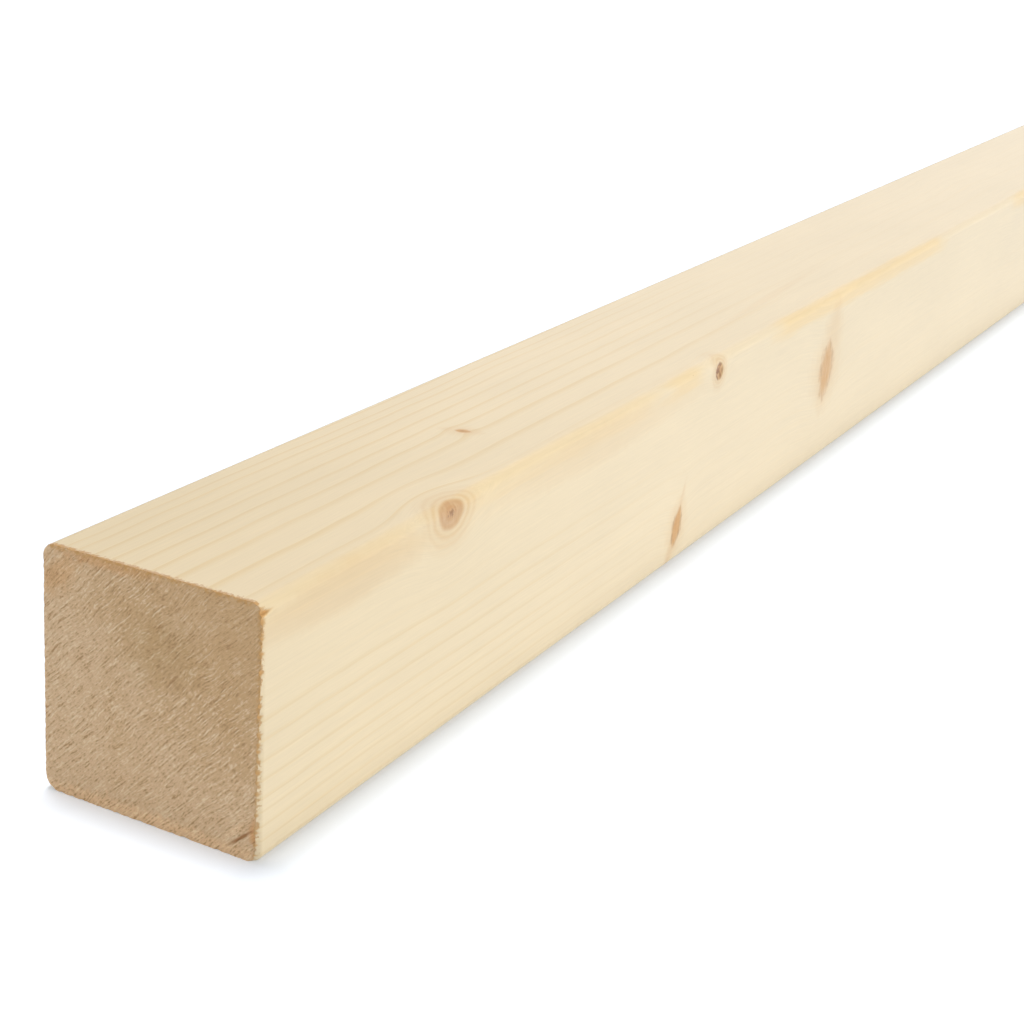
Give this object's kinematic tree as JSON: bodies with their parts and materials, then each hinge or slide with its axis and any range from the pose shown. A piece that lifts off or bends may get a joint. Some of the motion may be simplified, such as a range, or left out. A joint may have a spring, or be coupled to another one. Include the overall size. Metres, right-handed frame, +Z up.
{
  "type": "planed square timber",
  "caption": "Straight length of planed pale softwood with a square section, eased arrises and sawn ends, used as a batten, stud or rail in light building work.",
  "frame": {"origin": "middle of the underside, where the piece lies on the floor", "axes": "+X along the length, away from the sawn end that the picture shows; +Y across the section to the left of someone looking along +X; +Z up"},
  "size_m": [2, 0.044, 0.044],
  "materials": {
    "spruce": "planed and unfinished, with sawn end grain"
  },
  "bodies": {
    "root": {"timber": "spruce"}
  },
  "joints": []
}
